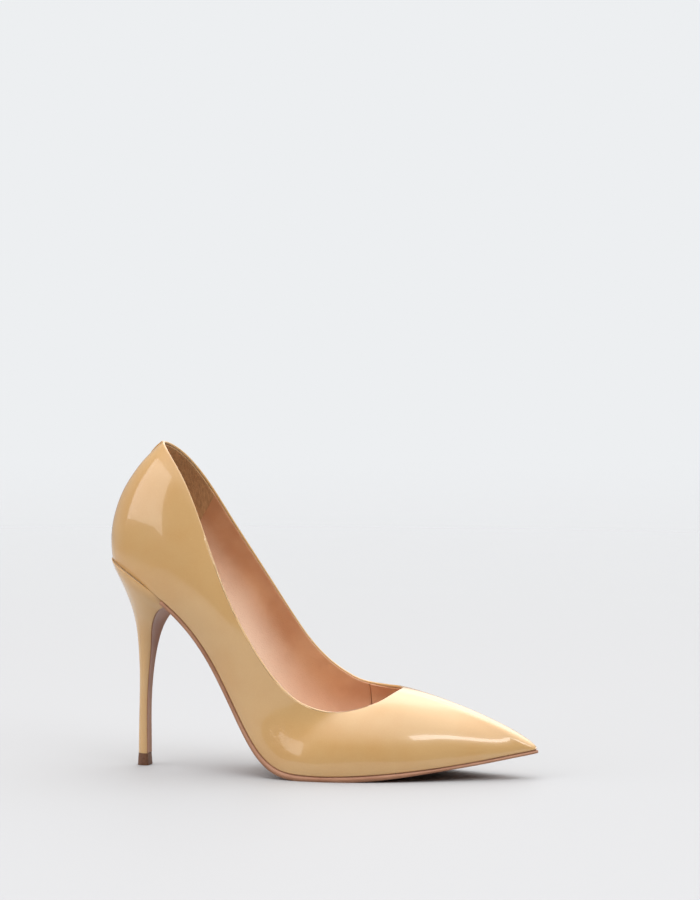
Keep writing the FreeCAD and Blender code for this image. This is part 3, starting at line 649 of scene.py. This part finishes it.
    def backing(self, s: np.ndarray, v: np.ndarray) -> np.ndarray:
        """Depth of the linings' outer face behind the wall."""
        turned = np.asarray(s, float) % self.length
        near = np.minimum(turned, self.length - turned)
        mark = [float(self.place(k)) for k in (3.6, 5.6, 12.6, 14.5)]
        full = np.maximum(1.0 - smooth((near - mark[0]) / (mark[1] - mark[0])),
                          smooth((near - mark[2]) / (mark[3] - mark[2])))
        room = self.stay + (self.stiff - self.stay) * full
        room = self.tape + self.bond + (room - self.tape) * smooth((1.0 - v) / 0.25)
        return self.upper + 2 * self.bond + room


# ---- modelling helpers


class Make:
    """Mesh building shared by the assemblies."""

    @staticmethod
    def lattice(bm: bmesh.types.BMesh, columns: np.ndarray, rows: np.ndarray,
                shape: Callable[[np.ndarray, np.ndarray], np.ndarray]) -> list[bmesh.types.BMVert]:
        """Adds a grid and lays it over a surface.

        Args:
            bm: the mesh to add to.
            columns: value of the first parameter at each column.
            rows: value of the second at each row.
            shape: gives points in millimetres for the two parameters.

        Returns:
            The new vertices.
        """
        wide, tall = len(columns) - 1, len(rows) - 1
        made = bmesh.ops.create_grid(bm, x_segments=wide, y_segments=tall, size=1.0)["verts"]
        flat = np.array([v.co[:2] for v in made])
        i = np.rint((flat[:, 0] + 1) / 2 * wide).astype(int)
        j = np.rint((flat[:, 1] + 1) / 2 * tall).astype(int)
        layer = bm.loops.layers.uv.verify()
        for vert, share in zip(made, (flat + 1) / 2):
            for loop in vert.link_loops:
                loop[layer].uv = share
        for vert, point in zip(made, shape(np.asarray(columns)[i], np.asarray(rows)[j]) * MM):
            vert.co = point
        return made

    @staticmethod
    def finish(bm: bmesh.types.BMesh, name: str, slot: str, wardrobe: Wardrobe,
               replaces: Sequence[str] = (), outward: bool = True,
               weld: float = FINE_WELD) -> bpy.types.Object:
        """Turns a mesh into a piece that rides on the frame.

        Args:
            bm: the mesh, which is used up.
            name: the piece's name.
            slot: the record's material slot.
            wardrobe: where finishes come from.
            replaces: CAD nodes that the piece stands for.
            outward: whether to turn the faces of a closed shell outward.
            weld: vertices closer than this are merged.

        Returns:
            The piece.
        """
        bmesh.ops.remove_doubles(bm, verts=bm.verts, dist=weld)
        if outward:
            bmesh.ops.recalc_face_normals(bm, faces=bm.faces)
        mesh = bpy.data.meshes.new(name)
        bm.to_mesh(mesh)
        bm.free()
        mesh.shade_smooth()
        piece = bpy.data.objects.new(name, mesh)
        bpy.context.scene.collection.objects.link(piece)
        wardrobe.dress(piece, slot)
        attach(piece, BODY)
        if replaces:
            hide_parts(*replaces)
        LOG.info("piece %s: %d vertices, %d faces", name, len(mesh.vertices), len(mesh.polygons))
        return piece

    @staticmethod
    def soften(bm: bmesh.types.BMesh, width: float, angle: float = 40.0, segments: int = 2) -> None:
        """Bevels the sharp edges of a mesh.

        Args:
            bm: the mesh.
            width: the bevel's width in millimetres.
            angle: edges turning more than this many degrees are sharp.
            segments: steps in the bevel.
        """
        limit = math.radians(angle)
        sharp = [e for e in bm.edges if len(e.link_faces) == 2 and e.calc_face_angle(0.0) > limit]
        bmesh.ops.bevel(bm, geom=sharp, offset=width * MM, affect="EDGES", segments=segments, profile=0.5,
                        material=-1, clamp_overlap=True)

    @staticmethod
    def thicken(piece: bpy.types.Object, thickness: float, bevel: float) -> None:
        """Gives a sheet its thickness behind its face, with softened edges.

        Args:
            piece: the sheet, whose faces point to the side that shows.
            thickness: in millimetres.
            bevel: width of the softened edge in millimetres.
        """
        shell = piece.modifiers.new("thickness", "SOLIDIFY")
        shell.thickness, shell.offset, shell.use_even_offset = thickness * MM, -1.0, False
        edge = piece.modifiers.new("edges", "BEVEL")
        edge.width, edge.segments, edge.limit_method = bevel * MM, 2, "ANGLE"
        edge.angle_limit = math.radians(50)


# ---- the upper


class Side(Enum):
    """Which half of the ring a piece lies on; the value is the sign of its stations."""

    LATERAL = 1
    MEDIAL = -1


@dataclass
class Upper:
    """The one-piece patent upper and its back tab."""

    form: Form
    wardrobe: Wardrobe
    bead: float = 1.25
    foot_radius: float = 0.28
    seam_depth: float = 0.3
    seam_width: float = 0.45
    wave: float = 0.09
    tab_length: float = 13.5
    tab_drop: float = 11.0
    tab_thick: float = 0.75

    def build(self) -> None:
        """Builds the upper and the tab."""
        self.build_upper()
        self.build_tab()

    def section(self) -> list[tuple[float, float, float]]:
        """The upper's closed section, as heights, rises and depths, from under the foot round and back."""
        foot, half = self.foot_radius, self.bead / 2
        rows = []
        for t in (0.0, 22.5, 45.0, 67.5, 90.0):
            a = math.radians(t)
            rows.append((0.0, foot * (1 - math.cos(a)), foot * (1 - math.sin(a))))
        rows += [(v, 0.0, 0.0) for v in np.linspace(0.03, 0.985, 52)]
        for t in np.linspace(-90.0, 90.0, 9):
            a = math.radians(t)
            rows.append((1.0, -half + half * math.cos(a), half + half * math.sin(a)))
        rows.append((1.0, -1.1, self.bead - 0.1))
        rows += [(v, 0.0, self.form.upper) for v in np.linspace(0.955, 0.03, 16)]
        rows.append((0.0, foot, self.form.upper))
        rows.append(rows[0])
        return rows

    def build_upper(self) -> None:
        """Builds the upper: a closed section carried round the ring, with its seam down the back."""
        form, section = self.form, np.array(self.section())
        stations = np.linspace(0.0, form.count, form.count * 9 + 1)
        places = form.place(stations)
        near_seam = np.array([0.0, 0.25, 0.5, 0.8, 1.2])
        places = np.unique(np.round(np.concatenate([
            places[(places > 1.6) & (places < form.length - 1.6)], near_seam, form.length - near_seam]), 6))

        def shape(s: np.ndarray, row: np.ndarray) -> np.ndarray:
            """Points of the upper at places and rows of the section."""
            v, rise, depth = section[row.astype(int)].T
            from_seam = np.minimum(s % form.length, form.length - s % form.length)
            outer = (depth < 0.9 * form.upper) & (v < 1.0)
            groove = np.where(outer, self.seam_depth * np.exp(-(from_seam / self.seam_width) ** 2), 0.0)
            points = form.skin(s, v, rise, depth + groove)
            fade = np.where(outer, np.clip(v / 0.1, 0, 1) * np.clip((1 - v) / 0.1, 0, 1), 0.0) * self.wave
            waves = np.array([noise.noise(Vector(p) / 11.0) for p in points])
            outward = unit(points - form.skin(s, v, rise, depth + groove + 1.0))
            return points + outward * (fade * waves)[:, None]

        bm = bmesh.new()
        Make.lattice(bm, places, np.arange(len(section)), shape)
        Make.finish(bm, "patent_upper", "patent", self.wardrobe, ["upper"])

    def build_tab(self) -> None:
        """Builds the dog-tail tab over the top of the back seam, on the medial side."""
        form = self.form
        reach = self.tab_length

        def shape(a: np.ndarray, b: np.ndarray) -> np.ndarray:
            """Points of the tab: a along the topline, b down."""
            s = form.length - reach * a - 0.1
            across = np.abs(2 * a - 1)
            drop = 0.9 + self.tab_drop * np.sqrt(np.maximum(0.0, 1 - across ** 2.6)) * b
            tall = form.reach(s)
            return form.skin(s, 1.0 - drop / tall, 0.0, -self.tab_thick)

        bm = bmesh.new()
        columns = 0.5 - 0.5 * np.cos(np.linspace(0.0, math.pi, 41))
        Make.lattice(bm, columns, np.linspace(1.0, 0.0, 19), shape)
        bmesh.ops.reverse_faces(bm, faces=bm.faces)
        tab = Make.finish(bm, "back_tab_patch", "patent", self.wardrobe, ["back_tab"], outward=False,
                          weld=COARSE_WELD)
        Make.thicken(tab, self.tab_thick, 0.22)


@dataclass
class Linings:
    """The heel grip and the leather linings inside the upper."""

    form: Form
    wardrobe: Wardrobe
    drop: float = 0.8
    grip_station: float = 3.3
    grip_lap: float = 0.12
    grip_proud: float = 0.2
    seam_station: float = 11.1
    tip_room: float = 0.6
    tip_taper: float = 0.24

    def build(self) -> None:
        """Builds the four linings."""
        ring = self.form.count
        self.build_lining("suede_grip", -self.grip_station, self.grip_station, "suede", "heel_grip")
        self.build_lining("quarter_leather_lateral", self.grip_station, self.seam_station, "lining_leather",
                          "quarter_lining_lateral")
        self.build_lining("vamp_leather", self.seam_station, ring - self.seam_station, "lining_leather",
                          "vamp_lining")
        self.build_lining("quarter_leather_medial", ring - self.seam_station, ring - self.grip_station,
                          "lining_leather", "quarter_lining_medial")

    def build_lining(self, name: str, start: float, end: float, slot: str, node: str) -> None:
        """Builds one lining.

        Args:
            name: the piece's name.
            start: first station.
            end: last station.
            slot: its material slot.
            node: the CAD node that it stands for.
        """
        form = self.form
        lap = self.grip_lap if slot == "suede" else -0.02
        stations = np.linspace(start - lap, end + lap, int((end - start) * 7) + 1)
        proud = self.grip_proud if slot == "suede" else 0.0

        def shape(k: np.ndarray, v: np.ndarray) -> np.ndarray:
            """Points of the lining's inner face."""
            s = form.place(k)
            low, high = 1.2 / form.reach(s), 1.0 - self.drop / form.reach(s)
            height = low + (high - low) * v
            face = form.wall(s, height)
            room = self.tip_room + self.tip_taper * (form.profile[-1][0] - face[:, 0])
            depth = np.minimum(form.backing(s, height) + form.lining + proud, room)
            return form.skin(s, height, 0.0, depth)

        bm = bmesh.new()
        Make.lattice(bm, stations[::-1], np.linspace(0.0, 1.0, 33), shape)
        piece = Make.finish(bm, name, slot, self.wardrobe, [node], outward=False)
        Make.thicken(piece, form.lining, 0.2)


# ---- the bottom


@dataclass
class Bottom:
    """The padded sock and the outsole."""

    form: Form
    wardrobe: Wardrobe
    sock_top: float = 6.0
    sock_thick: float = 2.2
    crown: float = 0.7
    sole_fore: float = 3.0
    sole_waist: float = 2.0
    reveal: float = 0.4
    rand: float = 0.5
    toe_thinning: float = 1.2

    def build(self) -> None:
        """Builds the sock and the outsole."""
        self.build_sock()
        self.build_outsole()

    def inside(self, station: np.ndarray, side: Side) -> np.ndarray:
        """The sock's edge, just clear of the lining.

        Args:
            station: station numbers.
            side: which side of the shoe.

        Returns:
            Points in millimetres.
        """
        form = self.form
        s = form.place(station * side.value)
        v = (self.sock_top - 1.0) / form.reach(s)
        return form.skin(s, v, 0.0, form.backing(s, v) + form.lining + 0.25)

    def build_sock(self) -> None:
        """Builds the sock with its foam: crowned across, with a soft edge."""
        form = self.form

        def shape(k: np.ndarray, w: np.ndarray) -> np.ndarray:
            """Points of the sock's top: stations along, w from the lateral edge to the medial."""
            left, right = self.inside(k, Side.LATERAL), self.inside(k, Side.MEDIAL)
            flat = left + (right - left) * w[:, None]
            shifted = flat[:, 0] - form.lift(flat[:, 0])[:, 0] * self.sock_top
            base = np.stack([shifted, flat[:, 1], form.rise(shifted)], -1)
            edge = 1 - np.abs(2 * w - 1) ** 6
            puff = self.crown * (1 - np.abs(2 * w - 1) ** 3) - 0.5 * (1 - edge)
            return base + form.lift(shifted) * (self.sock_top - 0.4 + puff)[:, None]

        bm = bmesh.new()
        stations = np.concatenate([np.linspace(0.0, 1.0, 14)[:-1] ** 1.6, np.linspace(1.0, 15.4, 110)])
        across = 0.5 - 0.5 * np.cos(np.linspace(0.0, math.pi, 31))
        Make.lattice(bm, stations, across, shape)
        sock = Make.finish(bm, "sock_cushion", "sock", self.wardrobe, ["sock_lining", "sock_foam"],
                           outward=False, weld=COARSE_WELD)
        Make.thicken(sock, self.sock_thick, 0.35)

    def build_outsole(self) -> None:
        """Builds the outsole, ground flat at the tread, under a thin rand."""
        self.build_layer("feather_rand", -0.35, 0.0, lambda x: np.full_like(x, self.rand + 0.1), [])
        self.build_layer("leather_outsole", self.reveal, self.rand, self.sole_thickness, ["outsole"])

    def sole_thickness(self, x: np.ndarray) -> np.ndarray:
        """Thickness of the outsole below the rand, thinner in the waist and towards the tip."""
        full = self.sole_waist + (self.sole_fore - self.sole_waist) * smooth((x - 52.0) / 34.0)
        return full - self.rand - self.toe_thinning * smooth((x - 118.0) / 50.0)

    def build_layer(self, name: str, reveal: float, below: float,
                    thickness: Callable[[np.ndarray], np.ndarray], replaces: Sequence[str]) -> None:
        """Builds one layer of the bottom, cut to the feather outline.

        Args:
            name: the piece's name.
            reveal: how far its edge stands outside the feather line.
            below: how far its top lies under the feather line.
            thickness: gives its thickness by x.
            replaces: CAD nodes that it stands for.
        """
        form = self.form

        def shape(k: np.ndarray, w: np.ndarray) -> np.ndarray:
            """Points of the layer's top face."""
            ends = []
            for side in Side:
                s = form.place(k * side.value)
                foot = form.wall(s, np.zeros_like(s))
                out = foot - form.skin(s, np.full_like(s, 0.01), 0.0, 1.0)
                out[:, 2] = 0.0
                ends.append(foot + unit(out) * reveal)
            flat = ends[0] + (ends[1] - ends[0]) * w[:, None]
            flat[:, 2] = form.rise(flat[:, 0])
            return flat - form.lift(flat[:, 0]) * below

        bm = bmesh.new()
        stations = np.concatenate([np.linspace(4.22, 16.0, 110)[:-1], np.linspace(16.0, 18.0, 26)])
        Make.lattice(bm, stations, np.linspace(0.0, 1.0, 25), shape)
        bmesh.ops.remove_doubles(bm, verts=bm.verts, dist=COARSE_WELD)
        extruded = bmesh.ops.extrude_face_region(bm, geom=bm.faces[:])["geom"]
        lower = [g for g in extruded if isinstance(g, bmesh.types.BMVert)]
        at = np.array([v.co for v in lower]) / MM
        moved = at - form.lift(at[:, 0]) * thickness(at[:, 0])[:, None]
        moved[:, 2] = np.maximum(moved[:, 2], 0.0)
        for vert, point in zip(lower, moved * MM):
            vert.co = point
        bmesh.ops.recalc_face_normals(bm, faces=bm.faces)
        if replaces:
            Make.soften(bm, 0.35, 45.0, 3)
        Make.finish(bm, name, "outsole_leather", self.wardrobe, replaces)


# ---- the heel


@dataclass
class Heel:
    """The covered stiletto heel and its top lift."""

    form: Form
    wardrobe: Wardrobe
    levels: tuple = (
        (-2.75, 4.0, 2.60, 4.0, 3.75, 0.25), (-2.75, 6.0, 2.60, 6.0, 3.75, 0.25),
        (-2.35, 28.0, 2.55, 28.0, 3.60, 0.25), (-2.10, 46.0, 3.50, 45.0, 4.00, 0.35),
        (-2.80, 62.0, 5.40, 60.0, 6.00, 0.80), (-4.40, 74.5, 7.30, 69.5, 10.20, 1.40),
        (-8.00, 86.5, 10.20, 75.6, 15.40, 1.60), (-12.0, 96.2, 13.80, 79.6, 19.80, 1.00),
        (-15.5, 104.0, 18.00, 83.3, 22.60, 0.0), (-16.2, 108.5, 18.60, 88.0, 22.60, 0.0),
    )
    lift_height: float = 6.0
    flap_thick: float = 0.35
    flap_share: float = 0.94
    side_steps: int = 56
    breast_steps: int = 14

    def build(self) -> None:
        """Builds the cover, its breast flap and the top lift."""
        self.build_cover()
        self.build_flap()
        self.build_lift()

    def rings(self) -> tuple[np.ndarray, np.ndarray]:
        """The heel's sections at its levels.

        Returns:
            The side's and the breast's points, level by level.
        """
        sides, breasts = [], []
        for back_x, back_z, front_x, front_z, half_width, hollow in self.levels:
            back, front = np.array([back_x, 0.0, back_z]), np.array([front_x, 0.0, front_z])
            length = float(np.linalg.norm(front - back))
            ahead = (front - back) / length
            turn = math.acos(max(-0.5, min(0.0, 1.0 - length / half_width)))
            angles = turn * np.linspace(-1.0, 1.0, self.side_steps + 1)
            along = length * (1 - np.cos(angles)) / (1 - math.cos(turn))
            side = back + ahead * along[:, None]
            side[:, 1] += half_width * np.sin(angles)
            across = np.linspace(-1.0, 1.0, self.breast_steps + 1)
            inward = length - hollow * (1 - across ** 2)
            face = back + ahead * inward[:, None]
            face[:, 1] += half_width * math.sin(turn) * across
            sides.append(side)
            breasts.append(face)
        return np.array(sides), np.array(breasts)

    def climb(self, ring: np.ndarray, start: float) -> tuple[Rail, np.ndarray]:
        """Carries points of the sections up to the seat.

        Args:
            ring: points, level by level.
            start: height of the lower end, above the lowest level.

        Returns:
            The spline through the levels, and where each column meets the seat.
        """
        gaps = [b[1] - a[1] for a, b in zip(self.levels, self.levels[1:])]
        climbs = np.concatenate([[0.0], np.cumsum(gaps)])
        column = Rail(climbs, ring)
        fine = np.linspace(start, climbs[-1], 1200)
        heights = column(fine)
        over = heights[:, :, 2] - self.form.rise(heights[:, :, 0]) + self.form.bond
        return column, fine[np.argmax(over > 0.0, axis=0)]

    def build_cover(self) -> None:
        """Builds the cover: sections lofted from the top lift's joint to the seat."""
        start = self.lift_height - self.levels[0][1]
        bm = bmesh.new()
        for ring in self.rings():
            column, ends = self.climb(ring, start)

            def shape(i: np.ndarray, w: np.ndarray) -> np.ndarray:
                """Points of the cover at ring numbers and shares of the height."""
                index = i.astype(int)
                t = start + (ends[index] - start) * w
                return column(t)[np.arange(len(t)), index]

            Make.lattice(bm, np.arange(ring.shape[1]), np.linspace(0.0, 1.0, 90), shape)
        bmesh.ops.remove_doubles(bm, verts=bm.verts, dist=COARSE_WELD)
        bmesh.ops.holes_fill(bm, edges=[e for e in bm.edges if e.is_boundary], sides=0)
        bmesh.ops.recalc_face_normals(bm, faces=bm.faces)
        Make.soften(bm, 0.18, 38.0, 3)
        Make.finish(bm, "patent_heel", "patent", self.wardrobe, ["heel_cover"])

    def build_flap(self) -> None:
        """Builds the leather flap that covers the breast, from the seat down to the top lift."""
        start = self.lift_height - self.levels[0][1] + 0.1
        column, ends = self.climb(self.rings()[1], start)
        centre = self.breast_steps // 2

        def shape(i: np.ndarray, w: np.ndarray) -> np.ndarray:
            """Points of the flap at breast columns and shares of the height."""
            index = np.rint(i).astype(int)
            points = column(start + (ends[index] - start) * w)[np.arange(len(w)), index]
            middle = column(start + (ends[centre] - start) * w)[:, centre]
            points[:, 1] = middle[:, 1] + (points[:, 1] - middle[:, 1]) * self.flap_share
            return points + np.array([self.flap_thick, 0.0, 0.0])

        bm = bmesh.new()
        Make.lattice(bm, np.arange(self.breast_steps + 1.0), np.linspace(0.0, 1.0, 80), shape)
        flap = Make.finish(bm, "breast_flap", "outsole_leather", self.wardrobe, outward=False)
        Make.thicken(flap, self.flap_thick + 0.1, 0.12)

    def build_lift(self) -> None:
        """Builds the top lift from the frame's own, with its edges eased."""
        bm = bmesh.new()
        bm.from_mesh(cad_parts["top_lift"].data)
        bmesh.ops.remove_doubles(bm, verts=bm.verts, dist=FINE_WELD)
        bmesh.ops.dissolve_limit(bm, angle_limit=math.radians(3), verts=bm.verts, edges=bm.edges)
        Make.soften(bm, 0.3, 50.0, 3)
        Make.finish(bm, "rubber_lift", "lift_rubber", self.wardrobe, ["top_lift"])


# ---- the studio


@dataclass
class Studio:
    """Floor, light and camera."""

    floor_tint: Colour = (0.43, 0.437, 0.45)
    floor_shade: Colour = (0.41, 0.417, 0.43)
    world_tint: Colour = tint(237, 239, 241)
    room_tint: Colour = (1.0, 0.99, 0.98)
    backdrop: float = 0.42
    patches: tuple = (((0.15, -0.1, 1.0), 0.45, 0.98, 2.5), ((-0.05, 0.75, 0.66), 0.80, 0.995, 1.75))
    fade: tuple[float, float] = (0.35, 2.2)

    def build(self) -> None:
        """Builds the studio."""
        self.build_floor()
        self.build_world()
        self.build_lights()
        self.build_camera()

    def build_floor(self) -> None:
        """Builds a wide plain floor."""
        bm = bmesh.new()
        bmesh.ops.create_circle(bm, cap_ends=True, radius=self.fade[1], segments=96)
        mesh = bpy.data.meshes.new("floor")
        bm.to_mesh(mesh)
        bm.free()
        floor = bpy.data.objects.new("floor", mesh)
        bpy.context.scene.collection.objects.link(floor)
        paint = Paint("floor_finish")
        cloud = paint.grain(0.8, 2.0)
        away = paint.node("ShaderNodeVectorMath", {"operation": "LENGTH"}, {0: paint.place})
        paint.gloss(
            Base_Color=paint.blend(cloud * 0.1, self.floor_tint, self.floor_shade), Roughness=0.6,
            Specular_IOR_Level=0.15, Alpha=1.0 - Field(paint, away.outputs["Value"]).between(*self.fade),
        )
        mesh.materials.append(paint.material)

    def build_world(self) -> None:
        """Sets the room: an even pale backdrop, and soft bright patches in the reflections."""
        world = bpy.data.worlds.new("studio")
        world.use_nodes = True
        tree = Tree(world.node_tree)
        way = tree.node("ShaderNodeTexCoord", {}, {}).outputs["Generated"]

        def towards(aim: Sequence[float], low: float, high: float) -> Field:
            """Share of a soft patch of the room round a direction."""
            made = tree.node("ShaderNodeVectorMath", {"operation": "DOT_PRODUCT"}, {0: way, 1: tuple(aim)})
            return Field(tree, made.outputs["Value"]).between(low, high)

        room = towards((0.0, 1.0, 0.0), -0.35, 0.35) * self.backdrop
        for aim, low, high, strength in self.patches:
            room = room + towards(Vector(aim).normalized(), low, high) * strength
        glow = tree.node("ShaderNodeVectorMath", {"operation": "SCALE"}, {0: self.room_tint, "Scale": room})
        path = tree.node("ShaderNodeLightPath", {}, {})
        seen = tree.blend(path.outputs["Is Camera Ray"], glow.outputs[0], self.world_tint)
        ground = tree.node("ShaderNodeBackground", {}, {"Color": seen, "Strength": 1.0})
        output = tree.node("ShaderNodeOutputWorld", {}, {})
        tree.tree.links.new(ground.outputs[0], output.inputs["Surface"])
        bpy.context.scene.world = world

    def panel(self, name: str, at: Sequence[float], towards: Sequence[float], size: tuple[float, float],
              power: float, colour: Colour = (1.0, 1.0, 1.0)) -> None:
        """Hangs a soft panel light.

        Args:
            name: the light's name.
            at: its centre, in metres.
            towards: the point that it faces.
            size: its width and height.
            power: its power, in watts.
            colour: its colour.
        """
        light = bpy.data.lights.new(name, "AREA")
        light.shape, light.size, light.size_y = "RECTANGLE", *size
        light.energy, light.color = power, colour
        lamp = bpy.data.objects.new(name, light)
        lamp.location = at
        lamp.rotation_euler = (Vector(towards) - Vector(at)).to_track_quat("-Z", "Y").to_euler()
        bpy.context.scene.collection.objects.link(lamp)

    def build_lights(self) -> None:
        """Hangs the panels: one at the heel's side and one over the toe."""
        middle = (0.08, 0.0, 0.07)
        self.panel("heel_side", (-2.6, -1.75, 1.7), (0.0, 0.0, 0.10), (3.6, 2.2), 58.0, (1.0, 0.955, 0.945))
        self.panel("overhead", (2.5, -1.7, 2.1), middle, (2.0, 0.42), 17.0)

    def build_camera(self) -> None:
        """Sets the camera."""
        data = bpy.data.cameras.new("camera")
        data.lens, data.sensor_width = 200.0, 36.0
        camera = bpy.data.objects.new("camera", data)
        camera.location = (0.8068, -2.3430, 0.3306)
        camera.rotation_euler = (math.radians(90 - 4.008), 0.0, math.radians(16.63))
        bpy.context.scene.collection.objects.link(camera)
        bpy.context.scene.camera = camera
        bpy.context.scene.view_settings.view_transform = "Standard"


def main() -> None:
    """Builds the pump and its studio, and reports each piece."""
    logging.basicConfig(level=logging.INFO, format="%(message)s")
    wardrobe = Wardrobe()
    wardrobe.dress_frame()
    form = Form()
    for assembly in (Upper, Linings, Bottom, Heel):
        assembly(form, wardrobe).build()
    Studio().build()


if __name__ == "__main__":
    main()
